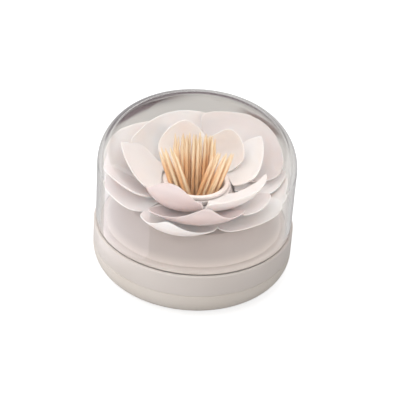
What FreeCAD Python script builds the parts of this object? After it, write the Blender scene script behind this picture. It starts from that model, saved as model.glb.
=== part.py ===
import FreeCAD, Part
import math
import os

from FreeCAD import Vector

# Toothpick dispenser: a clear lift-off cover stands on a round white base, and a
# flower of three tiers of petals surrounds a cup of toothpicks.
# Millimetres, +Z up, the origin is the centre of the underside.

# Base, from the underside up
base_radius = 50.0
base_wall = 2.2
part_line_height = 14.5
ledge_height = 26.0
bottom_round = 12.0
ledge_round = 0.8
part_line_chamfer = 0.35
foot_width = 6.0
foot_recess = 0.6
spigot_height = 4.0
spigot_wall = 1.8
spigot_clearance = 0.15
cup_seat_wall = 1.4
cup_seat_height = 4.0
rib_count = 6
rib_thickness = 1.4
rib_height = 3.0
rib_end_gap = 2.0

# Plinth, the dome under the flower
plinth_height = 40.0
plinth_arc_radius = 24.0
plinth_arc_inset = 28.7
plinth_arc_drop = 20.0
locating_step_height = 2.0
cover_clearance = 0.35

# Cover
total_height = 84.0
cover_inset = 1.0
cover_wall = 2.0
cover_shoulder_share = 0.431
cover_crown_radius = 300.0
cover_rim_round = 0.5

# Pick cup and the ring that holds it
cup_inner_radius = 14.0
cup_wall = 1.3
cup_floor = 1.2
cup_flange_reach = 1.2
cup_flange_height = 1.5
cup_flange_round = 0.6
cup_clearance = 0.2
lock_ring_height = 3.0
lock_ring_reach = 4.2
lock_ring_notches = 8
lock_ring_notch_width = 2.4
lock_ring_notch_depth = 1.1

# Collars between the tiers of petals
collar_height = 1.8
collar_reach = 3.6
collar_step = 0.9

# Petals
petal_thickness = 0.7
petal_root_gap = 0.8
inner_root_gap = 0.4
tab_width = 7.0
tab_inner_gap = 0.15
tab_lap = 1.0

# Each tier's reach in shares of the room beside it, its climb in shares of the room
# above it and its half width in shares of the cover's bore
inner_petal_shape_shares = (0.8306, 0.7163, 0.2979)
middle_petal_shape_shares = (1.0714, 0.8021, 0.4255)
outer_petal_shape_shares = (0.9594, 0.6516, 0.4043)

# Toothpicks
pick_headroom = 19.0
pick_radius = 0.85
pick_tip_radius = 0.15
pick_tip_length = 9.0
pick_lean_angle = 4.6
pick_floor_gap = 0.3
pick_lift = 1.2

overrun = 5.0

# Sizes that follow
cover_radius = base_radius - cover_inset
cover_bore = cover_radius - cover_wall
cover_shoulder_radius = cover_shoulder_share * (total_height - ledge_height)
cover_ceiling = total_height - cover_wall
cup_radius = cup_inner_radius + cup_wall
flange_radius = cup_radius + cup_flange_reach
hole_radius = cup_radius + cup_clearance
tier_rise = collar_height + petal_thickness
outer_tab_height = plinth_height + collar_height
middle_tab_height = outer_tab_height + tier_rise
inner_tab_height = middle_tab_height + tier_rise
flange_underside = inner_tab_height + petal_thickness
cup_rim_height = flange_underside + cup_flange_height
cup_floor_top = base_wall + cup_floor
pick_length = total_height - pick_headroom


def at(radius, height):
    """A point of a turned profile, in the XZ plane."""
    return Vector(radius, 0, height)


def line(start, end):
    return Part.LineSegment(start, end).toShape()


def arc_about(centre, radius, first_angle, last_angle):
    """An arc of a turned profile; angles in degrees from the outward direction."""
    middle_angle = (first_angle + last_angle) / 2
    points = []
    for angle in (first_angle, middle_angle, last_angle):
        turn = math.radians(angle)
        points.append(centre + at(radius * math.cos(turn), radius * math.sin(turn)))
    return Part.Arc(*points).toShape()


def turned(edges):
    """A solid of revolution from the closed profile that the edges make."""
    profile = Part.Face(Part.Wire(Part.__sortEdges__(edges)))
    return profile.revolve(Vector(0, 0, 0), Vector(0, 0, 1), 360)


def turned_points(points):
    return turned([line(a, b) for a, b in zip(points, points[1:] + points[:1])])


def ring(inner, outer, low, high):
    return turned_points([at(inner, low), at(outer, low), at(outer, high), at(inner, high)])


def save(node, shape):
    shape.exportStep("parts/" + node + ".step")


# Cover: one turned shell, open at the bottom
def cover():
    crown_centre = at(0, total_height - cover_crown_radius)
    shoulder_offset = cover_radius - cover_shoulder_radius
    reach = cover_crown_radius - cover_shoulder_radius
    shoulder_height = crown_centre.z + math.sqrt(reach ** 2 - shoulder_offset ** 2)
    shoulder_centre = at(shoulder_offset, shoulder_height)
    lean = math.degrees(math.acos(shoulder_offset / reach))

    def skin(inset):
        shoulder = arc_about(shoulder_centre, cover_shoulder_radius - inset, 0, lean)
        crown = arc_about(crown_centre, cover_crown_radius - inset, lean, 90)
        return [shoulder, crown]

    outer_top = at(cover_radius, shoulder_height)
    inner_top = at(cover_bore, shoulder_height)
    outer_rim = at(cover_radius, ledge_height + cover_rim_round)
    inner_rim = at(cover_bore, ledge_height + cover_rim_round)
    outer_foot = at(cover_radius - cover_rim_round, ledge_height)
    inner_foot = at(cover_bore + cover_rim_round, ledge_height)
    edges = skin(0) + skin(cover_wall)
    edges.append(line(at(0, total_height - cover_wall), at(0, total_height)))
    edges.append(line(outer_top, outer_rim))
    edges.append(arc_about(at(outer_foot.x, outer_rim.z), cover_rim_round, -90, 0))
    edges.append(line(outer_foot, inner_foot))
    edges.append(arc_about(at(inner_foot.x, inner_rim.z), cover_rim_round, 180, 270))
    edges.append(line(inner_rim, inner_top))
    return turned(edges)


# Upper shell: skirt, ledge for the cover, locating step and the plinth dome
def base_upper_shell():
    centre = at(base_radius - plinth_arc_inset, plinth_height - plinth_arc_drop)
    step_height = ledge_height + locating_step_height
    step_radius = cover_bore - cover_clearance
    inner_arc = plinth_arc_radius - base_wall
    inner_top = plinth_height - base_wall
    inner_ledge = ledge_height - base_wall
    skirt_bore = base_radius - base_wall

    def angle_at(radius, height):
        return math.degrees(math.asin((height - centre.z) / radius))

    def on_arc(radius, height):
        turn = math.radians(angle_at(radius, height))
        return centre + at(radius * math.cos(turn), radius * math.sin(turn))

    outside = [at(skirt_bore, part_line_height),
               at(base_radius - part_line_chamfer, part_line_height),
               at(base_radius, part_line_height + part_line_chamfer),
               at(base_radius, ledge_height - ledge_round)]
    ledge = [at(base_radius - ledge_round, ledge_height),
             at(step_radius, ledge_height),
             at(step_radius, step_height),
             on_arc(plinth_arc_radius, step_height)]
    top = [on_arc(plinth_arc_radius, plinth_height),
           at(hole_radius, plinth_height),
           at(hole_radius, inner_top),
           on_arc(inner_arc, inner_top)]
    inside = [on_arc(inner_arc, inner_ledge),
              at(skirt_bore, inner_ledge),
              at(skirt_bore, part_line_height)]
    edges = []
    for run in (outside, ledge, top, inside):
        edges += [line(a, b) for a, b in zip(run, run[1:])]
    edges.append(arc_about(at(base_radius - ledge_round, ledge_height - ledge_round), ledge_round, 0, 90))
    edges.append(arc_about(centre, plinth_arc_radius, angle_at(plinth_arc_radius, step_height),
                           angle_at(plinth_arc_radius, plinth_height)))
    edges.append(arc_about(centre, inner_arc, angle_at(inner_arc, inner_top),
                           angle_at(inner_arc, inner_ledge)))
    return turned(edges)


# Lower shell: rounded tray with a spigot, a seat for the cup and ribs
def base_lower_shell():
    round_centre = at(base_radius - bottom_round, bottom_round)
    inner_round = bottom_round - base_wall
    spigot_radius = base_radius - base_wall - spigot_clearance
    spigot_bore = spigot_radius - spigot_wall
    spigot_top = part_line_height + spigot_height
    spigot_root = part_line_height - base_wall
    wall_bore = base_radius - base_wall
    foot_inner = round_centre.x - foot_width
    outline = [at(base_radius, bottom_round),
               at(base_radius, part_line_height - part_line_chamfer),
               at(base_radius - part_line_chamfer, part_line_height),
               at(spigot_radius, part_line_height),
               at(spigot_radius, spigot_top),
               at(spigot_bore, spigot_top),
               at(spigot_bore, spigot_root)]
    inside = [at(wall_bore, bottom_round), at(wall_bore, spigot_root), at(spigot_bore, spigot_root)]
    floor = [at(round_centre.x, base_wall), at(0, base_wall), at(0, foot_recess),
             at(foot_inner, foot_recess), at(foot_inner, 0), at(round_centre.x, 0)]
    edges = [line(a, b) for a, b in zip(outline, outline[1:])]
    edges += [line(a, b) for a, b in zip(inside, inside[1:]) if (b - a).Length > 0]
    edges += [line(a, b) for a, b in zip(floor, floor[1:])]
    edges.append(arc_about(round_centre, bottom_round, -90, 0))
    edges.append(arc_about(round_centre, inner_round, -90, 0))
    tray = turned(edges)

    seat_outer = hole_radius + cup_seat_wall
    tray = tray.fuse(ring(hole_radius, seat_outer, base_wall, base_wall + cup_seat_height))
    rib_reach = round_centre.x - rib_end_gap - hole_radius
    for index in range(rib_count):
        rib = Part.makeBox(rib_reach, rib_thickness, rib_height)
        rib.translate(Vector(hole_radius + cup_seat_wall / 2, -rib_thickness / 2, base_wall))
        rib.rotate(Vector(0, 0, 0), Vector(0, 0, 1), index * 360 / rib_count)
        tray = tray.fuse(rib)
    return tray.removeSplitter()


# Cup: turned, with a rounded flange that presses on the innermost collar
def pick_cup():
    lip = at(cup_inner_radius + cup_flange_round, cup_rim_height - cup_flange_round)
    edge = at(flange_radius - cup_flange_round, cup_rim_height - cup_flange_round)
    points = [at(cup_inner_radius, lip.z),
              at(cup_inner_radius, cup_floor_top),
              at(0, cup_floor_top),
              at(0, base_wall),
              at(cup_radius, base_wall),
              at(cup_radius, flange_underside),
              at(flange_radius, flange_underside),
              at(flange_radius, edge.z)]
    edges = [line(a, b) for a, b in zip(points, points[1:])]
    edges.append(arc_about(edge, cup_flange_round, 0, 90))
    edges.append(line(at(edge.x, cup_rim_height), at(lip.x, cup_rim_height)))
    edges.append(arc_about(lip, cup_flange_round, 90, 180))
    return turned(edges)


# Lock ring: screws up under the plinth and pulls the cup's flange down
def cup_lock_ring():
    top = plinth_height - base_wall
    outer = hole_radius + lock_ring_reach
    body = ring(hole_radius, outer, top - lock_ring_height, top)
    for index in range(lock_ring_notches):
        notch = Part.makeBox(lock_ring_notch_depth + overrun, lock_ring_notch_width,
                             lock_ring_height + 2 * overrun)
        notch.translate(Vector(outer - lock_ring_notch_depth, -lock_ring_notch_width / 2,
                               top - lock_ring_height - overrun))
        notch.rotate(Vector(0, 0, 0), Vector(0, 0, 1), index * 360 / lock_ring_notches)
        body = body.cut(notch)
    return body


# Collars: flat rings that carry the tabs of the tier above
def collar(tab_height, steps_in):
    outer = hole_radius + collar_reach - steps_in * collar_step
    return ring(hole_radius, outer, tab_height - collar_height, tab_height)


# Petals: a spine that bends upwards carries a cupped strip, whose tip is rounded.
# rise_angles are the slope at the root, the slope that it turns to, an extra curl
# at the tip and the power that keeps the curl near the tip.
inner_defaults = dict(length_share=1.0, width_share=1.0, cup_share=1.15, neck_share=0.6,
                      widest_share=0.5, sway_share=0.0, roll_angle=0.0, point_share=0.15,
                      root_cup_share=0.5)
middle_defaults = dict(length_share=1.0, width_share=1.0, cup_share=1.6, neck_share=0.4,
                       widest_share=0.6, sway_share=0.0, roll_angle=0.0, point_share=0.1,
                       root_cup_share=1.5)
outer_defaults = dict(length_share=1.0, width_share=1.0, cup_share=1.9, neck_share=0.33,
                      widest_share=0.6, sway_share=0.0, roll_angle=-5.0, point_share=0.1,
                      root_cup_share=2.0)

inner_petal_shares = [
    dict(azimuth=-110, length_share=1.28, width_share=1.16, cup_share=1.3, neck_share=0.6,
         widest_share=0.58, sway_share=-0.14, roll_angle=-4, point_share=0.05,
         rise_angles=(1, 14, 170, 2.3)),
    dict(azimuth=-49.7, length_share=1.045, width_share=1.482, cup_share=1.87, neck_share=0.26,
         widest_share=0.71, sway_share=0.29, roll_angle=5.9, point_share=0.01,
         rise_angles=(-1.3, 43.8, 33.3, 2)),
    dict(azimuth=19.3, length_share=1.139, width_share=1.139, cup_share=2.15, neck_share=0.25,
         widest_share=0.55, sway_share=0.26, roll_angle=-4.7, point_share=0.55,
         rise_angles=(11.9, 72.3, 24.5, 2)),
    dict(azimuth=57.4, length_share=1.029, width_share=0.88, cup_share=0.9, neck_share=0.62,
         widest_share=0.45, sway_share=-0.22, roll_angle=8.2, point_share=0.57,
         rise_angles=(21.6, 108.5, 28.9, 2)),
    dict(azimuth=111.2, length_share=0.959, width_share=0.89, cup_share=1.97, neck_share=0.63,
         widest_share=0.45, sway_share=-0.13, roll_angle=-7.3, point_share=0.32,
         rise_angles=(32.2, 84.5, 26.4, 2)),
    dict(azimuth=-178.5, length_share=1.173, width_share=1.188, cup_share=3, neck_share=0.78,
         widest_share=0.45, sway_share=-0.13, roll_angle=-1.3, point_share=0.6,
         rise_angles=(19.8, 68.8, -1.8, 2)),
]

middle_petal_shares = [
    dict(azimuth=-158.4, length_share=1.018, width_share=0.482, cup_share=1.07, neck_share=0.42,
         widest_share=0.62, sway_share=-0.32, roll_angle=0.3, point_share=0,
         rise_angles=(10.9, 40.3, 8, 3)),
    dict(azimuth=-89.5, length_share=1.162, width_share=1.163, cup_share=1.31, neck_share=0.47,
         widest_share=0.45, sway_share=0.31, roll_angle=3.2, point_share=0.55,
         rise_angles=(10.6, -1.2, 159.1, 3.5)),
    dict(azimuth=4, length_share=0.943, width_share=0.47, cup_share=2.12, neck_share=0.25,
         widest_share=0.59, sway_share=0.13, roll_angle=0.1, point_share=0.6,
         rise_angles=(-0.6, 11.2, 42.2, 3)),
    dict(azimuth=44.6, length_share=1.153, width_share=1.43, cup_share=1.24, neck_share=0.28,
         widest_share=0.53, sway_share=0.15, roll_angle=11, point_share=0.06,
         rise_angles=(13.8, 61, 10.4, 2)),
    dict(azimuth=119.9, length_share=0.986, width_share=1.311, cup_share=1.63, neck_share=0.45,
         widest_share=0.73, sway_share=-0.13, roll_angle=4.8, point_share=0,
         rise_angles=(21, 58.6, 28.6, 2)),
    dict(azimuth=-31.7, length_share=0.765, width_share=0.573, cup_share=3, neck_share=0.75,
         widest_share=0.75, sway_share=-0.11, roll_angle=0.1, point_share=0,
         rise_angles=(1, 45.4, -26.2, 3)),
]

outer_petal_shares = [
    dict(azimuth=-101.2, length_share=1.28, width_share=0.989, cup_share=0.97, neck_share=0.72,
         widest_share=0.45, sway_share=-0.17, roll_angle=-2.6, point_share=0.3,
         rise_angles=(-0.7, -5, 133.2, 3.5)),
    dict(azimuth=-42.4, length_share=1.05, width_share=0.93, cup_share=2.11, neck_share=0.5,
         widest_share=0.58, sway_share=0.29, roll_angle=4.3, point_share=0.07,
         rise_angles=(5.3, -4.9, 53.9, 3)),
    dict(azimuth=6.3, length_share=1.112, width_share=0.981, cup_share=3, neck_share=0.37,
         widest_share=0.7, sway_share=0.02, roll_angle=1, point_share=0.12,
         rise_angles=(-1.9, 18.3, 41.2, 3)),
    dict(azimuth=59.2, length_share=1.131, width_share=0.906, cup_share=1.96, neck_share=0.35,
         widest_share=0.63, sway_share=-0.07, roll_angle=-8.1, point_share=0.12,
         rise_angles=(3.5, 41, 5.5, 2)),
    dict(azimuth=102.5, length_share=1.168, width_share=0.919, cup_share=1.95, neck_share=0.35,
         widest_share=0.63, sway_share=-0.06, roll_angle=-6.1, point_share=0.08,
         rise_angles=(7.4, 50, -2.1, 2)),
    dict(azimuth=152, length_share=1.284, width_share=1.219, cup_share=2.13, neck_share=0.46,
         widest_share=0.62, sway_share=0.24, roll_angle=-10.5, point_share=0.09,
         rise_angles=(21.2, 60.8, 12.5, 2)),
    dict(azimuth=-159.7, length_share=1.108, width_share=0.779, cup_share=0.96, neck_share=0.38,
         widest_share=0.66, sway_share=-0.21, roll_angle=-14.3, point_share=0.02,
         rise_angles=(12.9, 6.2, 51.5, 3)),
]

spine_steps = 24
grid_rows = 9
grid_columns = 11
roll_start_share = 0.3
probe_share = 0.001


def spine_at(petal, share):
    """Radius, height and slope of the spine at a share of its length."""
    first, steady, curl, power = petal["rise_angles"]

    def slope(part):
        return math.radians(first + (steady - first) * part + curl * part ** power)

    radius = petal["root_radius"]
    height = petal["root_height"]
    stride = share / spine_steps
    for step in range(spine_steps):
        heading = slope((step + 1 / 2) * stride)
        radius += petal["reach"] * stride * math.cos(heading)
        height += petal["climb"] * stride * math.sin(heading)
    return radius, height, slope(share)


def petal_point(petal, share, side):
    """A point of the middle surface; side is the distance from the spine."""
    radius, height, slope = spine_at(petal, share)
    cup = petal["cup"] * (1 + petal["root_cup_share"] * max(0, 1 - share))
    across = cup * math.sin(side / cup)
    lift = cup * (1 - math.cos(side / cup))
    roll = math.radians(petal["roll_angle"]) * min(1, share / roll_start_share)
    sideways = across * math.cos(roll) - lift * math.sin(roll) + petal["sway"] * share ** 2
    lifted = across * math.sin(roll) + lift * math.cos(roll)
    point = Vector(radius - math.sin(slope) * lifted, sideways, height + math.cos(slope) * lifted)
    turn = FreeCAD.Rotation(Vector(0, 0, 1), petal["azimuth"])
    return turn.multVec(point)


def petal_grid(petal, offset):
    """Rows of points over the petal, offset along the surface normal."""
    half_width = petal["half_width"]
    widest = petal["widest_share"]
    neck = petal["neck_share"]
    sharp = petal["point_share"]
    nudge = petal["reach"] * probe_share
    rows = []
    for row in range(grid_rows):
        along = row / (grid_rows - 1)
        points = []
        for column in range(grid_columns):
            swing = math.pi * (column / (grid_columns - 1) - 1 / 2)
            roundness = (1 - sharp) * math.cos(swing) + sharp * (1 - abs(math.sin(swing)))
            share = along * (widest + (1 - widest) * roundness)
            flare = neck + (1 - neck) * math.sin(min(1, share / widest) * math.pi / 2)
            side = half_width * math.sin(swing) * flare
            here = petal_point(petal, share, side)
            ahead = petal_point(petal, share + probe_share, side) - here
            aside = petal_point(petal, share, side + nudge) - here
            normal = ahead.cross(aside)
            normal.normalize()
            points.append(here + normal * offset)
        rows.append(points)
    return rows


def skin_face(rows):
    surface = Part.BSplineSurface()
    surface.interpolate(rows)
    return surface.toShape()


def petal(tier, shares):
    """A thick curved blade with a flat tab that the collars clamp."""
    reach_share, climb_share, width_share = tier["shape_shares"]
    values = dict(tier["defaults"])
    values.update(shares)
    values["root_radius"] = tier["root_radius"]
    values["root_height"] = tier["tab_height"] + petal_thickness / 2
    reach_room = cover_bore - values["root_radius"]
    climb_room = cover_ceiling - values["root_height"]
    half_width = cover_bore * width_share
    values["reach"] = reach_room * reach_share * values["length_share"]
    values["climb"] = climb_room * climb_share * values["length_share"]
    values["half_width"] = half_width * values["width_share"]
    values["cup"] = half_width * values["cup_share"]
    values["sway"] = half_width * values["sway_share"]
    top = skin_face(petal_grid(values, petal_thickness / 2))
    bottom = skin_face(petal_grid(values, -petal_thickness / 2))
    sides = [Part.makeRuledSurface(a, b) for a, b in zip(top.Edges, bottom.Edges)]
    shell = Part.makeShell([top, bottom] + sides)
    shell.sewShape()
    blade = Part.makeSolid(shell)
    tab_start = hole_radius + tab_inner_gap
    tab = Part.makeBox(tier["root_radius"] + tab_lap - tab_start, tab_width, petal_thickness)
    tab.translate(Vector(tab_start, -tab_width / 2, tier["tab_height"]))
    tab.rotate(Vector(0, 0, 0), Vector(0, 0, 1), values["azimuth"])
    return blade.fuse(tab)


# Toothpicks: parallel rows, each a fan whose picks don't cross. A fan holds the
# count, then the first and last foot and tip across the cup in shares of its radius.
pick_front_shares = (5, -0.58, -0.02, 0.62, 1.17)
pick_left_shares = (4, 0.22, 0.74, -1.33, -0.84)
pick_right_shares = (5, -0.66, -0.10, 0.70, 1.28)
pick_middle_shares = (7, -0.45, 0.45, -0.76, 0.48)
pick_back_shares = (6, -0.38, 0.32, -0.58, 0.36)
pick_row_shares = [pick_front_shares, pick_left_shares, pick_right_shares, pick_left_shares,
                   pick_middle_shares, pick_middle_shares, pick_middle_shares, pick_back_shares]
first_row_share = -0.66
row_step_share = 0.135
row_shift_share = 0.05
lift_step_share = 0.618


def pick():
    """One pick, standing on its lower point."""
    shoulder = pick_length - pick_tip_length
    return turned_points([at(0, 0), at(pick_tip_radius, 0), at(pick_radius, pick_tip_length),
                          at(pick_radius, shoulder), at(pick_tip_radius, pick_length),
                          at(0, pick_length)])


def toothpicks():
    model = pick()
    picks = []
    for row, fan in enumerate(pick_row_shares):
        count, first_foot, last_foot, first_tip, last_tip = fan
        depth = cup_inner_radius * (first_row_share + row * row_step_share)
        shift = row_shift_share * (-1) ** row
        for index in range(count):
            part = index / (count - 1)
            foot = cup_inner_radius * (first_foot + (last_foot - first_foot) * part - shift)
            tip = cup_inner_radius * (first_tip + (last_tip - first_tip) * part - shift)
            single = model.copy()
            single.translate(Vector(0, 0, pick_lift * (lift_step_share * len(picks) % 1)))
            tilt = math.degrees(math.asin((tip - foot) / pick_length))
            single.rotate(Vector(0, 0, 0), Vector(0, 1, 0), tilt)
            single.rotate(Vector(0, 0, 0), Vector(1, 0, 0), -pick_lean_angle)
            single.translate(Vector(foot, depth, cup_floor_top + pick_floor_gap))
            picks.append(single)
    return Part.makeCompound(picks)


os.makedirs("parts", exist_ok=True)
print("cover and base")
save("cover", cover())
save("base_upper_shell", base_upper_shell())
save("base_lower_shell", base_lower_shell())
print("cup, ring and collars")
save("pick_cup", pick_cup())
save("cup_lock_ring", cup_lock_ring())
save("collar_outer", collar(outer_tab_height, 0))
save("collar_middle", collar(middle_tab_height, 1))
save("collar_inner", collar(inner_tab_height, 2))
outer_collar_radius = hole_radius + collar_reach
tiers = {
    "inner": dict(defaults=inner_defaults, shape_shares=inner_petal_shape_shares,
                  tab_height=inner_tab_height, root_radius=flange_radius + inner_root_gap),
    "middle": dict(defaults=middle_defaults, shape_shares=middle_petal_shape_shares,
                   tab_height=middle_tab_height,
                   root_radius=outer_collar_radius - collar_step + petal_root_gap),
    "outer": dict(defaults=outer_defaults, shape_shares=outer_petal_shape_shares,
                  tab_height=outer_tab_height, root_radius=outer_collar_radius + petal_root_gap),
}
for name, table in (("inner", inner_petal_shares), ("middle", middle_petal_shares),
                    ("outer", outer_petal_shares)):
    print(name, "petals")
    for number, shares in enumerate(table, start=1):
        save("petal_" + name + "_" + str(number), petal(tiers[name], shares))
print("toothpicks")
save("toothpicks", toothpicks())
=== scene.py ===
import math

import bmesh
import bpy
from mathutils import Matrix, Vector


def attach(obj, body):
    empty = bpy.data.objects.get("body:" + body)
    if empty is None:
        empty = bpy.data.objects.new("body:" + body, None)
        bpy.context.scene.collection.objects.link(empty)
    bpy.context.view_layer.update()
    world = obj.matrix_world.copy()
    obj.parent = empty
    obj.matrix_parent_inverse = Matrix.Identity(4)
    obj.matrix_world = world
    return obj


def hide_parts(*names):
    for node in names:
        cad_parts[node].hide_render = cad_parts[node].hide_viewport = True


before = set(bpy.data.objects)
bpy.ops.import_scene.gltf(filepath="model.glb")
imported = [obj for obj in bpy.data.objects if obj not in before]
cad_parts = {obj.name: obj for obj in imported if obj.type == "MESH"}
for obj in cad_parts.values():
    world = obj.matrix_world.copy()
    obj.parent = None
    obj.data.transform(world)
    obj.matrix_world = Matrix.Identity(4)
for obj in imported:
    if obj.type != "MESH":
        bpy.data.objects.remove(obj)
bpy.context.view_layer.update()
scene = bpy.context.scene
mm = 0.001


# Small helpers

def newMaterial(name):
    material = bpy.data.materials.new(name)
    material.use_nodes = True
    nodes = material.node_tree.nodes
    return material, nodes, material.node_tree.links, nodes["Principled BSDF"]


def groupNode(nodes, group, **values):
    node = nodes.new("ShaderNodeGroup")
    node.node_tree = group
    for key, value in values.items():
        node.inputs[key].default_value = value
    return node


def rgb(red, green, blue):
    # Screen colour 0-255 as linear colour
    def linear(value):
        share = value / 255
        return share / 12.92 if share <= 0.04045 else ((share + 0.055) / 1.055) ** 2.4
    return (linear(red), linear(green), linear(blue), 1)


def feed(links, socket, value):
    # Links another node's output, or sets a plain value
    if isinstance(value, bpy.types.NodeSocket):
        links.new(value, socket)
    else:
        socket.default_value = value


def mathNode(nodes, links, operation, first, second=0, clamp=False):
    node = nodes.new("ShaderNodeMath")
    node.operation = operation
    node.use_clamp = clamp
    feed(links, node.inputs[0], first)
    feed(links, node.inputs[1], second)
    return node.outputs[0]


def rangeNode(nodes, links, value, source=(0, 1), target=(0, 1), smooth=False):
    node = nodes.new("ShaderNodeMapRange")
    node.interpolation_type = "SMOOTHSTEP" if smooth else "LINEAR"
    feed(links, node.inputs["Value"], value)
    for socket, limit in zip(("From Min", "From Max", "To Min", "To Max"), (*source, *target)):
        feed(links, node.inputs[socket], limit)
    return node.outputs["Result"]


def mixNode(nodes, links, factor, first, second, blend="MIX"):
    node = nodes.new("ShaderNodeMix")
    node.data_type = "RGBA"
    node.blend_type = blend
    feed(links, node.inputs["Factor"], factor)
    feed(links, node.inputs["A"], first)
    feed(links, node.inputs["B"], second)
    return node.outputs["Result"]


def noiseNode(nodes, links, place, scale, detail):
    node = nodes.new("ShaderNodeTexNoise")
    links.new(place, node.inputs["Vector"])
    feed(links, node.inputs["Scale"], scale)
    node.inputs["Detail"].default_value = detail
    return node.outputs["Fac"]


def bumpNode(nodes, links, height, distance, strength):
    node = nodes.new("ShaderNodeBump")
    node.inputs["Strength"].default_value = strength
    feed(links, node.inputs["Distance"], distance)
    links.new(height, node.inputs["Height"])
    return node.outputs["Normal"]


def attributeNode(nodes, name, output="Fac"):
    node = nodes.new("ShaderNodeAttribute")
    node.attribute_name = name
    return node.outputs[output]


def glowNode(nodes, links, colour, strength=1):
    node = nodes.new("ShaderNodeEmission")
    feed(links, node.inputs["Color"], colour)
    node.inputs["Strength"].default_value = strength
    return node.outputs[0]


def mixShaders(nodes, links, factor, first, second):
    node = nodes.new("ShaderNodeMixShader")
    links.new(factor, node.inputs[0])
    links.new(first, node.inputs[1])
    links.new(second, node.inputs[2])
    return node.outputs[0]


def finishMesh(bm, name, material, body, nodes, sharpAngle=32):
    mesh = bpy.data.meshes.new(name)
    bm.to_mesh(mesh)
    bm.free()
    mesh.shade_smooth()
    mesh.set_sharp_from_angle(angle=math.radians(sharpAngle))
    piece = bpy.data.objects.new(name, mesh)
    scene.collection.objects.link(piece)
    mesh.materials.append(material)
    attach(piece, body)
    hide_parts(*nodes)
    return piece


def arcRun(centreX, centreZ, radius, firstAngle, lastAngle, count):
    run = []
    for index in range(count + 1):
        turn = math.radians(firstAngle + (lastAngle - firstAngle) * index / count)
        run.append((centreX + radius * math.cos(turn), centreZ + radius * math.sin(turn)))
    return run


def turnProfile(points, steps, closed=True):
    # Spins an outline in millimetres round the Z axis
    bm = bmesh.new()
    verts = [bm.verts.new((x * mm, 0, z * mm)) for x, z in points]
    pairs = list(zip(verts, verts[1:]))
    if closed:
        pairs.append((verts[-1], verts[0]))
    edges = [bm.edges.new(pair) for pair in pairs]
    bmesh.ops.spin(bm, geom=verts + edges, cent=(0, 0, 0), axis=(0, 0, 1), dvec=(0, 0, 0),
                   angle=2 * math.pi, steps=steps, use_merge=True, use_normal_flip=False,
                   use_duplicate=False)
    bmesh.ops.remove_doubles(bm, verts=bm.verts, dist=1e-6)
    bmesh.ops.recalc_face_normals(bm, faces=bm.faces)
    return bm


# Moulded plastic

skinLook = {
    "patchDetail": 2,
    "patchRange": (0.3, 0.7),
    "grainDetail": 3,
    "grainRange": (0.35, 0.65),
    "bumpStrength": 0.5,
    "ior": 1.46,
    "scatter": (1, 0.75, 0.65),
}


def buildSkinGroup():
    # Broad soft patches between two tints, with a very fine moulded grain
    group = bpy.data.node_groups.new("mouldedSkin", "ShaderNodeTree")
    for direction, kind, names in (
            ("INPUT", "NodeSocketVector", ("Place",)),
            ("INPUT", "NodeSocketColor", ("Light Tint", "Shade Tint")),
            ("INPUT", "NodeSocketFloat", ("Patch Scale", "Grain Scale", "Grain Depth",
                                          "Roughness Low", "Roughness High")),
            ("OUTPUT", "NodeSocketColor", ("Color",)),
            ("OUTPUT", "NodeSocketFloat", ("Roughness",)),
            ("OUTPUT", "NodeSocketVector", ("Normal",))):
        for name in names:
            group.interface.new_socket(name=name, in_out=direction, socket_type=kind)
    nodes, links = group.nodes, group.links
    entry = nodes.new("NodeGroupInput").outputs
    leave = nodes.new("NodeGroupOutput").inputs
    patches = noiseNode(nodes, links, entry["Place"], entry["Patch Scale"], skinLook["patchDetail"])
    grain = noiseNode(nodes, links, entry["Place"], entry["Grain Scale"], skinLook["grainDetail"])
    spread = rangeNode(nodes, links, patches, source=skinLook["patchRange"])
    tint = mixNode(nodes, links, spread, entry["Light Tint"], entry["Shade Tint"])
    rough = rangeNode(nodes, links, grain, source=skinLook["grainRange"],
                      target=(entry["Roughness Low"], entry["Roughness High"]))
    bump = bumpNode(nodes, links, grain, entry["Grain Depth"], skinLook["bumpStrength"])
    links.new(tint, leave["Color"])
    links.new(rough, leave["Roughness"])
    links.new(bump, leave["Normal"])
    return group


mouldedSkin = buildSkinGroup()


def plasticMaterial(name, look):
    # White plastic, whose colour the caller takes from the skin group
    material, nodes, links, shader = newMaterial(name)
    place = nodes.new("ShaderNodeTexCoord")
    skin = groupNode(nodes, mouldedSkin, **{
        "Light Tint": rgb(*look["lightTint"]), "Shade Tint": rgb(*look["shadeTint"]),
        "Patch Scale": look["patchScale"], "Grain Scale": look["grainScale"],
        "Grain Depth": look["grainDepth"], "Roughness Low": look["roughness"][0],
        "Roughness High": look["roughness"][1]})
    links.new(place.outputs["Object"], skin.inputs["Place"])
    links.new(skin.outputs["Roughness"], shader.inputs["Roughness"])
    links.new(skin.outputs["Normal"], shader.inputs["Normal"])
    shader.inputs["IOR"].default_value = skinLook["ior"]
    shader.inputs["Subsurface Weight"].default_value = look["subsurface"]
    shader.inputs["Subsurface Radius"].default_value = skinLook["scatter"]
    shader.inputs["Subsurface Scale"].default_value = look["subsurfaceDepth"] * mm
    return material, nodes, links, shader, skin


# Petals: on the spines of the frame's nodes, with a smooth thickness and rim

petalLook = {
    "lightTint": (251, 247, 245),
    "shadeTint": (246, 237, 234),
    # The rim tint is a painted highlight, and the deep tint is painted shade that each petal's tone
    # mixes in.
    "rimPaintedHighlight": (250, 246, 242),
    "paintedShadeTint": (202, 188, 188),
    "patchScale": 55,
    "grainScale": 2600,
    "grainDepth": 0.00002,
    "roughness": (0.3, 0.42),
    "subsurface": 0.5,
    "subsurfaceDepth": 3,
    "rimWidth": 0.05,
    "thickness": 0.7,
    "rimThickness": 0.75,
    "rimStart": 0.9,
    "rollShare": 0.3,
    "spineSteps": 24,
    "rows": 26,
    "columns": 33,
    "smoothing": 1,
}

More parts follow.
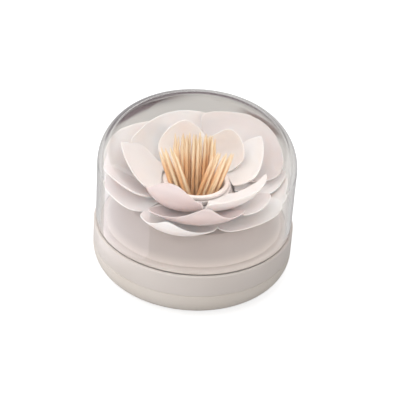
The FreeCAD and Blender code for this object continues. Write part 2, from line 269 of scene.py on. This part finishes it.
tiers = {
    "inner": {"length": 25, "halfWidth": 14, "rootRadius": 16.9, "rootHeight": 47.15,
              "cup": 1.15, "neck": 0.6, "widest": 0.5, "sway": 0, "roll": 0, "point": 0.15,
              "rootCup": 0.5, "tone": 1},
    "middle": {"length": 30, "halfWidth": 20, "rootRadius": 19.0, "rootHeight": 44.65,
               "cup": 1.6, "neck": 0.4, "widest": 0.6, "sway": 0, "roll": 0, "point": 0.1,
               "rootCup": 1.5, "tone": 1},
    "outer": {"length": 26, "halfWidth": 19, "rootRadius": 19.9, "rootHeight": 42.15,
              "cup": 1.9, "neck": 0.33, "widest": 0.6, "sway": 0, "roll": -5, "point": 0.1,
              "rootCup": 2, "tone": 1},
}
# A tone below 1 is painted shade, which darkens that petal towards the grey-pink deep tint.
petals = {
    "inner": [
        {"azimuth": -110, "length": 1.28, "width": 1.16, "cup": 1.3, "neck": 0.6,
         "widest": 0.58, "sway": -0.14, "roll": -4, "point": 0.05,
         "rise": (1, 14, 170, 2.3), "tone": 0.15},
        {"azimuth": -49.7, "length": 1.045, "width": 1.482, "cup": 1.87, "neck": 0.26,
         "widest": 0.71, "sway": 0.29, "roll": 5.9, "point": 0.01,
         "rise": (-1.3, 43.8, 33.3, 2), "tone": 0.8},
        {"azimuth": 19.3, "length": 1.139, "width": 1.139, "cup": 2.15, "neck": 0.45,
         "widest": 0.55, "sway": 0.26, "roll": -4.7, "point": 0.55,
         "rise": (11.9, 72.3, 24.5, 2)},
        {"azimuth": 57.4, "length": 1.029, "width": 0.88, "cup": 0.9, "neck": 0.62,
         "widest": 0.45, "sway": -0.22, "roll": 8.2, "point": 0.57,
         "rise": (21.6, 108.5, 28.9, 2)},
        {"azimuth": 111.2, "length": 0.959, "width": 0.89, "cup": 1.97, "neck": 0.63,
         "widest": 0.45, "sway": -0.13, "roll": -7.3, "point": 0.32,
         "rise": (32.2, 84.5, 26.4, 2)},
        {"azimuth": -178.5, "length": 1.173, "width": 1.188, "cup": 3, "neck": 0.78,
         "widest": 0.45, "sway": -0.13, "roll": -1.3, "point": 0.6,
         "rise": (19.8, 68.8, -1.8, 2), "tone": 0.7},
    ],
    "middle": [
        {"azimuth": -158.4, "length": 1.018, "width": 0.482, "cup": 1.07, "neck": 0.42,
         "widest": 0.62, "sway": -0.32, "roll": 0.3, "point": 0,
         "rise": (10.9, 40.3, 8, 3), "tone": 0.65},
        {"azimuth": -89.5, "length": 1.162, "width": 1.163, "cup": 1.31, "neck": 0.47,
         "widest": 0.45, "sway": 0.31, "roll": 3.2, "point": 0.55,
         "rise": (10.6, -1.2, 159.1, 3.5), "tone": 0.1},
        {"azimuth": 4, "length": 0.943, "width": 0.47, "cup": 2.12, "neck": 0.25,
         "widest": 0.59, "sway": 0.13, "roll": 0.1, "point": 0.6,
         "rise": (-0.6, 11.2, 42.2, 3)},
        {"azimuth": 44.6, "length": 1.153, "width": 1.43, "cup": 1.24, "neck": 0.28,
         "widest": 0.53, "sway": 0.15, "roll": 11, "point": 0.06,
         "rise": (13.8, 61, 10.4, 2), "tone": 0.65},
        {"azimuth": 119.9, "length": 0.986, "width": 1.311, "cup": 1.63, "neck": 0.45,
         "widest": 0.73, "sway": -0.13, "roll": 4.8, "point": 0,
         "rise": (21, 58.6, 28.6, 2)},
        {"azimuth": -31.7, "length": 0.765, "width": 0.573, "cup": 3, "neck": 0.75,
         "widest": 0.75, "sway": -0.11, "roll": 0.1, "point": 0,
         "rise": (1, 45.4, -26.2, 3), "tone": 0.65},
    ],
    "outer": [
        {"azimuth": -101.2, "length": 1.28, "width": 0.989, "cup": 0.97, "neck": 0.72,
         "widest": 0.45, "sway": -0.17, "roll": -2.6, "point": 0.3,
         "rise": (-0.7, -5, 133.2, 3.5)},
        {"azimuth": -42.4, "length": 1.05, "width": 0.93, "cup": 2.11, "neck": 0.5,
         "widest": 0.58, "sway": 0.29, "roll": 4.3, "point": 0.07,
         "rise": (5.3, -4.9, 53.9, 3)},
        {"azimuth": 6.3, "length": 1.112, "width": 0.981, "cup": 3, "neck": 0.37,
         "widest": 0.7, "sway": 0.02, "roll": 1, "point": 0.12,
         "rise": (-1.9, 18.3, 41.2, 3)},
        {"azimuth": 59.2, "length": 1.131, "width": 0.906, "cup": 1.96, "neck": 0.35,
         "widest": 0.63, "sway": -0.07, "roll": -8.1, "point": 0.12,
         "rise": (3.5, 41, 5.5, 2)},
        {"azimuth": 102.5, "length": 1.168, "width": 0.919, "cup": 1.95, "neck": 0.35,
         "widest": 0.63, "sway": -0.06, "roll": -6.1, "point": 0.08,
         "rise": (7.4, 50, -2.1, 2)},
        {"azimuth": 152, "length": 1.284, "width": 1.219, "cup": 2.13, "neck": 0.46,
         "widest": 0.62, "sway": 0.24, "roll": -10.5, "point": 0.09,
         "rise": (21.2, 60.8, 12.5, 2)},
        {"azimuth": -159.7, "length": 1.108, "width": 0.779, "cup": 0.96, "neck": 0.38,
         "widest": 0.66, "sway": -0.21, "roll": -14.3, "point": 0.02,
         "rise": (12.9, 6.2, 51.5, 3)},
    ],
}


def spineAt(petal, share):
    # Radius, height and slope of the spine at a share of its length
    first, steady, curl, power = petal["rise"]

    def slope(part):
        return math.radians(first + (steady - first) * part + curl * part ** power)

    radius, height = petal["rootRadius"], petal["rootHeight"]
    stride = share / petalLook["spineSteps"]
    for step in range(petalLook["spineSteps"]):
        heading = slope((step + 0.5) * stride)
        radius += petal["length"] * stride * math.cos(heading)
        height += petal["length"] * stride * math.sin(heading)
    return radius, height, slope(share)


def petalPoint(petal, share, side):
    # A point of the petal at a share of its length and a distance from its spine
    radius, height, slope = spineAt(petal, share)
    cup = petal["cup"] * (1 + petal["rootCup"] * max(0, 1 - share))
    across = cup * math.sin(side / cup)
    lift = cup * (1 - math.cos(side / cup))
    roll = math.radians(petal["roll"]) * min(1, share / petalLook["rollShare"])
    sideways = across * math.cos(roll) - lift * math.sin(roll) + petal["sway"] * share ** 2
    lifted = across * math.sin(roll) + lift * math.cos(roll)
    point = Vector((radius - math.sin(slope) * lifted, sideways,
                    height + math.cos(slope) * lifted))
    return Matrix.Rotation(math.radians(petal["azimuth"]), 3, "Z") @ point


def petalMaterial():
    # Painted highlight on the rims, and painted shade: each petal's tone darkens it towards a
    # grey-pink
    look = petalLook
    material, nodes, links, shader, skin = plasticMaterial("petalPlastic", look)
    uv = nodes.new("ShaderNodeUVMap")
    uv.uv_map = "petal"
    parts = nodes.new("ShaderNodeSeparateXYZ")
    links.new(uv.outputs["UV"], parts.inputs["Vector"])
    fromMiddle = mathNode(nodes, links, "SUBTRACT", parts.outputs["X"], 0.5)
    width = mathNode(nodes, links, "ABSOLUTE", fromMiddle)
    double = mathNode(nodes, links, "MULTIPLY", width, 2)
    edge = mathNode(nodes, links, "MAXIMUM", double, parts.outputs["Y"])
    # Painted highlight: the rims are mixed towards a paler tint.
    rim = rangeNode(nodes, links, edge, source=(1 - 2 * look["rimWidth"], 1), smooth=True)
    tint = mixNode(nodes, links, rim, skin.outputs["Color"], rgb(*look["rimPaintedHighlight"]))
    # Painted shade: each petal's tone mixes its colour towards the grey-pink tint.
    tone = attributeNode(nodes, "petalPaintedShade")
    shaded = mixNode(nodes, links, tone, rgb(*look["paintedShadeTint"]), tint)
    links.new(shaded, shader.inputs["Base Color"])
    return material


def buildPetal(name, node, petal, material):
    # A grid laid over the petal, given its thickness and smoothed
    look = petalLook
    bm = bmesh.new()
    bmesh.ops.create_grid(bm, x_segments=look["columns"] - 1, y_segments=look["rows"] - 1, size=0.5)
    uvLayer = bm.loops.layers.uv.new("petal")
    for face in bm.faces:
        for loop in face.loops:
            loop[uvLayer].uv = (loop.vert.co.x + 0.5, loop.vert.co.y + 0.5)
    thin = bm.verts.layers.deform.new()
    tone = bm.verts.layers.float.new("petalPaintedShade")
    for vert in bm.verts:
        swing = math.pi * vert.co.x
        along = vert.co.y + 0.5
        edge = max(2 * abs(vert.co.x), along)
        roundness = ((1 - petal["point"]) * math.cos(swing)
                     + petal["point"] * (1 - abs(math.sin(swing))))
        share = along * (petal["widest"] + (1 - petal["widest"]) * roundness)
        opened = math.sin(min(1, share / petal["widest"]) * math.pi / 2)
        flare = petal["neck"] + (1 - petal["neck"]) * opened
        side = petal["halfWidth"] * math.sin(swing) * flare
        vert.co = petalPoint(petal, share, side) * mm
        vert[thin][0] = 1 if edge < look["rimStart"] else look["rimThickness"]
        # The petal's tone is painted shade, stored for its material.
        vert[tone] = petal["tone"]
    bmesh.ops.recalc_face_normals(bm, faces=bm.faces)
    piece = finishMesh(bm, name, material, "base", [node])
    piece.vertex_groups.new(name="thickness")
    wall = piece.modifiers.new("wall", "SOLIDIFY")
    wall.thickness = look["thickness"] * mm
    wall.offset = 0
    wall.vertex_group = "thickness"
    smooth = piece.modifiers.new("smooth", "SUBSURF")
    smooth.levels = look["smoothing"]
    smooth.render_levels = look["smoothing"]
    return piece


petalPlastic = petalMaterial()
for tierName, defaults in tiers.items():
    for number, own in enumerate(petals[tierName], start=1):
        petal = dict(defaults)
        petal.update(own)
        petal["length"] = defaults["length"] * own.get("length", 1)
        petal["halfWidth"] = defaults["halfWidth"] * own.get("width", 1)
        petal["cup"] = defaults["halfWidth"] * petal["cup"]
        petal["sway"] = defaults["halfWidth"] * petal["sway"]
        node = "petal_" + tierName + "_" + str(number)
        buildPetal(tierName.capitalize() + "Petal" + str(number), node, petal, petalPlastic)
print("petals done")


# Cover: clear plastic, spun from its two skins

coverShape = {
    "radius": 49.0,
    "wall": 2.0,
    "rimHeight": 26.0,
    "topHeight": 84.0,
    "shoulder": 25.0,
    "crown": 300.0,
    "rimRound": 0.5,
    "rimParts": 4,
    "crownParts": 12,
    "shoulderParts": 40,
    "wallRows": 6,
    "wallStep": 4,
    "steps": 160,
    "tint": (253, 252, 251),
    "edgeTint": (128, 116, 126),
    "edgeStart": 0.66,
    "roughness": 0.02,
    "ior": 1.45,
}


def coverMaterial():
    # Clear plastic, darker where the eye passes along the wall
    look = coverShape
    material, nodes, links, shader = newMaterial("clearCover")
    facing = nodes.new("ShaderNodeLayerWeight")
    facing.inputs["Blend"].default_value = 0.5
    edge = rangeNode(nodes, links, facing.outputs["Facing"], source=(look["edgeStart"], 1))
    tint = mixNode(nodes, links, edge, rgb(*look["tint"]), rgb(*look["edgeTint"]))
    links.new(tint, shader.inputs["Base Color"])
    shader.inputs["Roughness"].default_value = look["roughness"]
    shader.inputs["IOR"].default_value = look["ior"]
    shader.inputs["Transmission Weight"].default_value = 1
    return material


def buildCover():
    # Outer skin from the crown down, the rim, then the inner skin back up
    s = coverShape
    offset = s["radius"] - s["shoulder"]
    reach = s["crown"] - s["shoulder"]
    crownZ = s["topHeight"] - s["crown"]
    shoulderZ = crownZ + math.sqrt(reach ** 2 - offset ** 2)
    lean = math.degrees(math.acos(offset / reach))
    inner = s["radius"] - s["wall"]
    edge, rim, rows, step = s["rimRound"], s["rimHeight"], s["wallRows"], s["wallStep"]
    points = arcRun(0, crownZ, s["crown"], 90, lean, s["crownParts"])
    points += arcRun(offset, shoulderZ, s["shoulder"], lean, 0, s["shoulderParts"])[1:]
    points += [(s["radius"], rim + step * (rows - row)) for row in range(rows)]
    points += arcRun(s["radius"] - edge, rim + edge, edge, 0, -90, s["rimParts"])
    points += arcRun(inner + edge, rim + edge, edge, -90, -180, s["rimParts"])
    points += [(inner, rim + step * (row + 1)) for row in range(rows)]
    points += arcRun(offset, shoulderZ, s["shoulder"] - s["wall"], 0, lean, s["shoulderParts"])
    points += arcRun(0, crownZ, s["crown"] - s["wall"], lean, 90, s["crownParts"])[1:]
    bm = turnProfile(points, s["steps"], closed=False)
    cover = finishMesh(bm, "ClearCover", coverMaterial(), "cover", ["cover"])
    cover.visible_shadow = False
    return cover


buildCover()
print("cover done")


# Base: the upper shell is rebuilt, the tray, cup and rings keep their solids

baseLook = {
    "lightTint": (226, 217, 211),
    "shadeTint": (218, 208, 201),
    "patchScale": 22,
    "grainScale": 2200,
    "grainDepth": 0.00002,
    "roughness": (0.3, 0.4),
    "subsurface": 0.04,
    "subsurfaceDepth": 2,
    # Painted shade: the dome is tinted greyer from domeFrom up to domeTo.
    "domeFrom": 26.5,
    "domeTo": 33,
    "domePaintedShade": (216, 215, 217),
}
trayLook = dict(baseLook, lightTint=(226, 217, 209), shadeTint=(218, 208, 198))
cupLook = dict(baseLook, lightTint=(242, 235, 231), shadeTint=(232, 220, 215),
               roughness=(0.28, 0.38))
baseShape = {
    "radius": 50.0,
    "wall": 2.2,
    "partLine": 14.5,
    "partLineRound": 0.35,
    "ledge": 26.0,
    "ledgeRound": 0.8,
    "stepHeight": 28.0,
    "stepRadius": 46.65,
    "stepRound": 1.8,
    "plinthHeight": 40.0,
    "domeX": 21.3,
    "domeZ": 20.0,
    "domeRadius": 24.0,
    "holeRadius": 15.5,
    "partLineParts": 3,
    "ledgeParts": 6,
    "stepParts": 4,
    "domeParts": 24,
    "innerDomeParts": 16,
    "steps": 160,
}


def simplePlastic(name, look):
    material, nodes, links, shader, skin = plasticMaterial(name, look)
    links.new(skin.outputs["Color"], shader.inputs["Base Color"])
    return material


def shellPlastic(name, look):
    # Painted shade: the dome under the flower is tinted a little greyer than the wall and the ledge
    material, nodes, links, shader, skin = plasticMaterial(name, look)
    place = nodes.new("ShaderNodeTexCoord")
    parts = nodes.new("ShaderNodeSeparateXYZ")
    links.new(place.outputs["Object"], parts.inputs["Vector"])
    height = rangeNode(nodes, links, parts.outputs["Z"],
                       source=(look["domeFrom"] * mm, look["domeTo"] * mm), smooth=True)
    tint = mixNode(nodes, links, height, skin.outputs["Color"], rgb(*look["domePaintedShade"]), "MULTIPLY")
    links.new(tint, shader.inputs["Base Color"])
    return material


def domeRun(radius, lowHeight, highHeight, count):
    # Stretch of the dome's round shoulder between two heights
    s = baseShape
    low, high = (math.degrees(math.asin((height - s["domeZ"]) / radius))
                 for height in (lowHeight, highHeight))
    return arcRun(s["domeX"], s["domeZ"], radius, low, high, count)


def buildUpperShell(material):
    # Wall, ledge, step and dome on the outside, then the same forms inside
    s = baseShape
    bore = s["radius"] - s["wall"]
    innerDome = s["domeRadius"] - s["wall"]
    line, ledge, small = s["partLineRound"], s["ledgeRound"], s["stepRound"]
    points = [(bore, s["partLine"])]
    points += arcRun(s["radius"] - line, s["partLine"] + line, line, -90, 0, s["partLineParts"])
    points += arcRun(s["radius"] - ledge, s["ledge"] - ledge, ledge, 0, 90, s["ledgeParts"])
    points += [(s["stepRadius"], s["ledge"])]
    points += arcRun(s["stepRadius"] - small, s["stepHeight"] - small, small, 0, 90, s["stepParts"])
    points += domeRun(s["domeRadius"], s["stepHeight"], s["plinthHeight"], s["domeParts"])
    points += [(s["holeRadius"], s["plinthHeight"]),
               (s["holeRadius"], s["plinthHeight"] - s["wall"])]
    points += domeRun(innerDome, s["plinthHeight"] - s["wall"], s["ledge"] - s["wall"],
                      s["innerDomeParts"])
    points += [(bore, s["ledge"] - s["wall"])]
    bm = turnProfile(points, s["steps"])
    return finishMesh(bm, "UpperShell", material, "base", ["base_upper_shell"])


buildUpperShell(shellPlastic("baseShellPlastic", baseLook))
trayPlastic = simplePlastic("trayPlastic", trayLook)
cupPlastic = simplePlastic("cupPlastic", cupLook)
for node, material in (("base_lower_shell", trayPlastic), ("pick_cup", cupPlastic),
                       ("collar_outer", cupPlastic), ("collar_middle", cupPlastic),
                       ("collar_inner", cupPlastic), ("cup_lock_ring", trayPlastic)):
    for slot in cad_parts[node].material_slots:
        slot.material = material
print("base done")


# Toothpicks

pickShape = {
    "length": 65.0,
    "radius": 0.85,
    "tipRadius": 0.15,
    "tipLength": 9.0,
    "lean": 4.6,
    "floor": 3.7,
    "lift": 1.2,
    "cupRadius": 14.0,
    "firstRow": -0.66,
    "rowStep": 0.135,
    "rowShift": 0.05,
    "tipSpread": 0.045,
    "footSpread": 0.03,
    "leanSpread": 0.9,
    "tipStride": 0.414,
    "footStride": 0.755,
    "leanStride": 0.732,
    "liftStride": 0.618,
    "tipCurve": 0.7,
    "rings": (0.6, 2, 4, 6, 9, 20, 32.5, 45, 56, 59, 61, 63, 64.4),
    "sides": 14,
    "sharpAngle": 50,
}
pickLook = {
    "grainStretch": (900, 900, 45),
    "grainShift": 0.13,
    "grainDetail": 4,
    "grainRange": (0.3, 0.68),
    "darkWood": (252, 206, 154),
    "paleWood": (255, 244, 214),
    "deepTone": (246, 222, 198),
    "tipTint": (253, 238, 208),
    "tipRange": (0.8, 0.98),
    "tipShare": 0.8,
    # The side tint is painted shade along the sides of each pick.
    "paintedSideShade": (210, 134, 86),
    "sideShadeRange": (0.45, 0.95),
    "sideShadeShare": 0.85,
    "bumpStrength": 0.4,
    "bumpDepth": 0.00008,
    "roughness": 0.55,
}
# Each row: count of picks, then first and last foot and first and last tip across the cup
frontFan = (5, -0.58, -0.02, 0.62, 1.17)
leftFan = (4, 0.22, 0.74, -1.33, -0.84)
rightFan = (5, -0.66, -0.10, 0.70, 1.28)
middleFan = (7, -0.45, 0.45, -0.76, 0.48)
backFan = (6, -0.38, 0.32, -0.58, 0.36)
pickRows = [frontFan, leftFan, rightFan, leftFan, middleFan, middleFan, middleFan, backFan]


def woodMaterial():
    # Long grain and paler tips, with painted shade on the sides
    look = pickLook
    material, nodes, links, shader = newMaterial("pickWood")
    stretch = nodes.new("ShaderNodeMapping")
    stretch.inputs["Scale"].default_value = look["grainStretch"]
    links.new(attributeNode(nodes, "grainPlace", "Vector"), stretch.inputs["Vector"])
    grain = noiseNode(nodes, links, stretch.outputs["Vector"], 1, look["grainDetail"])
    streak = rangeNode(nodes, links, grain, source=look["grainRange"])
    wood = mixNode(nodes, links, streak, rgb(*look["darkWood"]), rgb(*look["paleWood"]))
    tone = mixNode(nodes, links, attributeNode(nodes, "tone"), rgb(*look["deepTone"]), (1, 1, 1, 1))
    toned = mixNode(nodes, links, 1, wood, tone, "MULTIPLY")
    tip = rangeNode(nodes, links, attributeNode(nodes, "along"), source=look["tipRange"],
                    target=(0, look["tipShare"]), smooth=True)
    tipped = mixNode(nodes, links, tip, toned, rgb(*look["tipTint"]))
    # Painted shade: where the surface turns away from the eye, each pick's sides are mixed towards
    # a darker brown.
    facing = nodes.new("ShaderNodeLayerWeight")
    facing.inputs["Blend"].default_value = 0.5
    side = rangeNode(nodes, links, facing.outputs["Facing"], source=look["sideShadeRange"],
                     target=(0, look["sideShadeShare"]), smooth=True)
    tint = mixNode(nodes, links, side, tipped, rgb(*look["paintedSideShade"]))
    links.new(tint, shader.inputs["Base Color"])
    bump = bumpNode(nodes, links, grain, look["bumpDepth"], look["bumpStrength"])
    links.new(bump, shader.inputs["Normal"])
    shader.inputs["Roughness"].default_value = look["roughness"]
    return material


def addPick(bm, layers, place, number):
    # One pick from a cone primitive, cut into rings and drawn in at its points
    s = pickShape
    before = set(bm.verts)
    half = s["length"] * mm / 2
    made = bmesh.ops.create_cone(bm, cap_ends=True, cap_tris=False, segments=s["sides"],
                                 radius1=s["radius"] * mm, radius2=s["radius"] * mm, depth=2 * half)
    geom = made["verts"] + list({e for v in made["verts"] for e in v.link_edges})
    geom += list({f for v in made["verts"] for f in v.link_faces})
    for ring in s["rings"]:
        cut = bmesh.ops.bisect_plane(bm, geom=geom, plane_co=(0, 0, ring * mm - half),
                                     plane_no=(0, 0, 1))
        geom = cut["geom"]
    verts = [v for v in bm.verts if v not in before]
    grainLayer, alongLayer, toneLayer = layers
    for vert in verts:
        height = (vert.co.z + half) / mm
        fromEnd = min(height, s["length"] - height)
        swell = math.sin(min(1, fromEnd / s["tipLength"]) * math.pi / 2) ** s["tipCurve"]
        radius = s["tipRadius"] + (s["radius"] - s["tipRadius"]) * swell
        around = Vector((vert.co.x, vert.co.y, 0)).normalized() * radius * mm
        vert.co.x, vert.co.y = around.x, around.y
        vert[grainLayer] = (vert.co.x, vert.co.y, vert.co.z + number * pickLook["grainShift"])
        vert[alongLayer] = height / s["length"]
        vert[toneLayer] = (number * s["liftStride"]) % 1
        vert.co.z += half
    bmesh.ops.transform(bm, matrix=place, verts=verts)


def wander(number, stride):
    # A different value from -1 to 1 for each pick
    return 2 * ((stride * number) % 1) - 1


def buildPicks():
    s = pickShape
    bm = bmesh.new()
    layers = (bm.verts.layers.float_vector.new("grainPlace"), bm.verts.layers.float.new("along"),
              bm.verts.layers.float.new("tone"))
    number = 0
    for row, (count, firstFoot, lastFoot, firstTip, lastTip) in enumerate(pickRows):
        depth = s["cupRadius"] * (s["firstRow"] + row * s["rowStep"])
        shift = s["rowShift"] * (-1) ** row
        for index in range(count):
            part = index / (count - 1)
            foot = s["cupRadius"] * (firstFoot + (lastFoot - firstFoot) * part - shift)
            tip = s["cupRadius"] * (firstTip + (lastTip - firstTip) * part - shift)
            foot += s["cupRadius"] * s["footSpread"] * wander(number, s["footStride"])
            tip += s["cupRadius"] * s["tipSpread"] * wander(number, s["tipStride"])
            lean = s["lean"] + s["leanSpread"] * wander(number, s["leanStride"])
            lift = s["lift"] * ((s["liftStride"] * number) % 1)
            place = (Matrix.Translation(Vector((foot, depth, s["floor"])) * mm)
                     @ Matrix.Rotation(math.radians(-lean), 4, "X")
                     @ Matrix.Rotation(math.asin((tip - foot) / s["length"]), 4, "Y")
                     @ Matrix.Translation((0, 0, lift * mm)))
            addPick(bm, layers, place, number)
            number += 1
    return finishMesh(bm, "WoodPicks", woodMaterial(), "base", ["toothpicks"],
                      s["sharpAngle"])


buildPicks()
print("picks done")


# Floor, light and camera

stageLook = {
    "floorReach": 3,
    "floorTint": 0.5,
    "floorRoughness": 0.9,
    "floorSpecular": 0.1,
    "floorGlow": 0.73,
    "floorBounce": 0.6,
    "insideGlow": 1.1,
    "insideTint": (255, 238, 230),
    "throughTint": (240, 238, 236),
    "throughRoom": (120, 106, 112),
    "shadeCore": 0.35,
    "shades": (
        {"place": (0, 0.24), "reach": 0.25, "tint": (218, 216, 212)},
        {"place": (-0.055, 0.212), "reach": 0.06, "tint": (60, 38, 48)},
        {"place": (-0.062, 0.185), "reach": 0.03, "tint": (112, 94, 102)},
        {"place": (-0.155, 0.25), "reach": 0.07, "tint": (96, 80, 90)},
        {"place": (-0.15, 0.4), "reach": 0.2, "tint": (84, 66, 76)},
        {"place": (0.21, 0.42), "reach": 0.17, "tint": (84, 68, 70)},
        {"place": (0.05, 0.168), "reach": 0.03, "tint": (140, 124, 118)},
    ),
    "reflection": {
        "height": 0.001,
        "corners": ((-0.055, -0.073), (-0.7, -0.6), (-1.2, 0), (-0.9, 0.6), (-0.07, 0)),
        "tint": (244, 240, 248),
        "strength": 2.2,
    },
    "room": 0.5,
    "roomInside": 2.2,
    "mirrored": 0.12,
    "light": 1.6,
    "lightFrom": (-0.6, -0.1, 0.8),
}


def seenSplit(nodes, links, direct, through, others):
    # One shader for the camera, one for what it sees through the cover, one for all other rays
    path = nodes.new("ShaderNodeLightPath").outputs
    unlit = mathNode(nodes, links, "LESS_THAN", path["Diffuse Depth"], 0.5)
    crossed = mathNode(nodes, links, "MULTIPLY", path["Is Transmission Ray"], unlit)
    behind = mixShaders(nodes, links, crossed, others, through)
    return mixShaders(nodes, links, path["Is Camera Ray"], behind, direct)


def shadePatch(nodes, links, position, before, patch):
    # Mixes a soft round patch of shade into a colour
    away = nodes.new("ShaderNodeVectorMath")
    away.operation = "DISTANCE"
    away.inputs[1].default_value = (*patch["place"], 0)
    links.new(position, away.inputs[0])
    fade = rangeNode(nodes, links, away.outputs["Value"],
                     source=(patch["reach"] * stageLook["shadeCore"], patch["reach"]),
                     target=(1, 0), smooth=True)
    return mixNode(nodes, links, fade, before, rgb(*patch["tint"]))


def stageSheet(name, bm):
    mesh = bpy.data.meshes.new(name)
    bm.to_mesh(mesh)
    bm.free()
    sheet = bpy.data.objects.new(name, mesh)
    scene.collection.objects.link(sheet)
    return sheet


def buildStage():
    # A white floor that keeps the shadow, and shaded patches that only the cover shows
    look = stageLook
    bm = bmesh.new()
    bmesh.ops.create_grid(bm, x_segments=1, y_segments=1, size=look["floorReach"])
    floor = stageSheet("Floor", bm)
    material, nodes, links, shader = newMaterial("whiteFloor")
    shader.inputs["Base Color"].default_value = (look["floorTint"],) * 3 + (1,)
    shader.inputs["Roughness"].default_value = look["floorRoughness"]
    shader.inputs["Specular IOR Level"].default_value = look["floorSpecular"]
    direct = nodes.new("ShaderNodeAddShader")
    links.new(shader.outputs[0], direct.inputs[0])
    links.new(glowNode(nodes, links, (1, 1, 1, 1), look["floorGlow"]), direct.inputs[1])
    bounce = nodes.new("ShaderNodeBsdfDiffuse")
    bounce.inputs["Color"].default_value = (look["floorBounce"],) * 3 + (1,)
    inside = glowNode(nodes, links, rgb(*look["insideTint"]), look["insideGlow"])
    path = nodes.new("ShaderNodeLightPath").outputs
    others = mixShaders(nodes, links, path["Is Transmission Ray"], bounce.outputs[0], inside)
    place = nodes.new("ShaderNodeTexCoord").outputs["Object"]
    field = nodes.new("ShaderNodeRGB")
    field.outputs[0].default_value = rgb(*look["throughTint"])
    colour = field.outputs[0]
    for patch in look["shades"]:
        colour = shadePatch(nodes, links, place, colour, patch)
    through = glowNode(nodes, links, colour)
    mixed = seenSplit(nodes, links, direct.outputs[0], through, others)
    links.new(mixed, nodes["Material Output"].inputs["Surface"])
    floor.data.materials.append(material)


def buildReflection():
    # A pale field beside the object, seen only as a reflection in the cover
    look = stageLook["reflection"]
    bm = bmesh.new()
    bm.faces.new([bm.verts.new((x, y, look["height"])) for x, y in look["corners"]])
    card = stageSheet("ReflectionCard", bm)
    material, nodes, links, shader = newMaterial("reflectionCard")
    glow = glowNode(nodes, links, rgb(*look["tint"]), look["strength"])
    links.new(glow, nodes["Material Output"].inputs["Surface"])
    card.data.materials.append(material)
    card.visible_camera = False
    card.visible_diffuse = False
    card.visible_transmission = False
    card.visible_shadow = False


def buildWorld():
    # A plain room with one broad soft light, dimmer in reflections and brighter under the cover
    look = stageLook
    world = bpy.data.worlds.new("studio")
    scene.world = world
    world.use_nodes = True
    nodes, links = world.node_tree.nodes, world.node_tree.links
    toward = nodes.new("ShaderNodeVectorMath")
    toward.operation = "DOT_PRODUCT"
    links.new(nodes.new("ShaderNodeTexCoord").outputs["Generated"], toward.inputs[0])
    toward.inputs[1].default_value = Vector(look["lightFrom"]).normalized()
    path = nodes.new("ShaderNodeLightPath").outputs
    ambient = rangeNode(nodes, links, path["Is Transmission Ray"],
                        target=(look["room"], look["roomInside"]))
    level = rangeNode(nodes, links, toward.outputs["Value"], target=(ambient, look["light"]),
                      smooth=True)
    bounced = mathNode(nodes, links, "SUBTRACT", path["Is Glossy Ray"],
                       path["Is Transmission Ray"], clamp=True)
    mirrored = rangeNode(nodes, links, bounced, target=(1, look["mirrored"]))
    room = nodes["Background"]
    room.inputs["Color"].default_value = (1, 1, 1, 1)
    links.new(mathNode(nodes, links, "MULTIPLY", level, mirrored), room.inputs["Strength"])
    backdrop = nodes.new("ShaderNodeBackground")
    backdrop.inputs["Color"].default_value = (1, 1, 1, 1)
    through = nodes.new("ShaderNodeBackground")
    through.inputs["Color"].default_value = rgb(*look["throughRoom"])
    mixed = seenSplit(nodes, links, backdrop.outputs[0], through.outputs[0], room.outputs[0])
    links.new(mixed, nodes["World Output"].inputs["Surface"])


cameraLook = {
    "elevation": 33.27,
    "roll": 3.94,
    "distance": 0.72279,
    "aim": (0, 0, 0.038),
    "sensor": 36,
    "lens": 130.78,
    "picture": 400,
    "aimPixel": (195.0, 198.04),
}


def buildCamera():
    look = cameraLook
    elevation, roll = math.radians(look["elevation"]), math.radians(look["roll"])
    back = Vector((0, -math.cos(elevation), math.sin(elevation)))
    up = Vector((0, math.sin(elevation), math.cos(elevation)))
    right = Vector((1, 0, 0))
    rolledRight = right * math.cos(roll) + up * math.sin(roll)
    rolledUp = up * math.cos(roll) - right * math.sin(roll)
    turn = Matrix((rolledRight, rolledUp, back)).transposed()
    data = bpy.data.cameras.new("Camera")
    data.sensor_width = look["sensor"]
    data.lens = look["lens"]
    data.shift_x = 0.5 - look["aimPixel"][0] / look["picture"]
    data.shift_y = look["aimPixel"][1] / look["picture"] - 0.5
    camera = bpy.data.objects.new("Camera", data)
    scene.collection.objects.link(camera)
    place = Matrix.Translation(Vector(look["aim"]) + back * look["distance"])
    camera.matrix_world = place @ turn.to_4x4()
    scene.camera = camera


buildStage()
buildReflection()
buildWorld()
buildCamera()
scene.view_settings.view_transform = "Standard"
print("stage done")
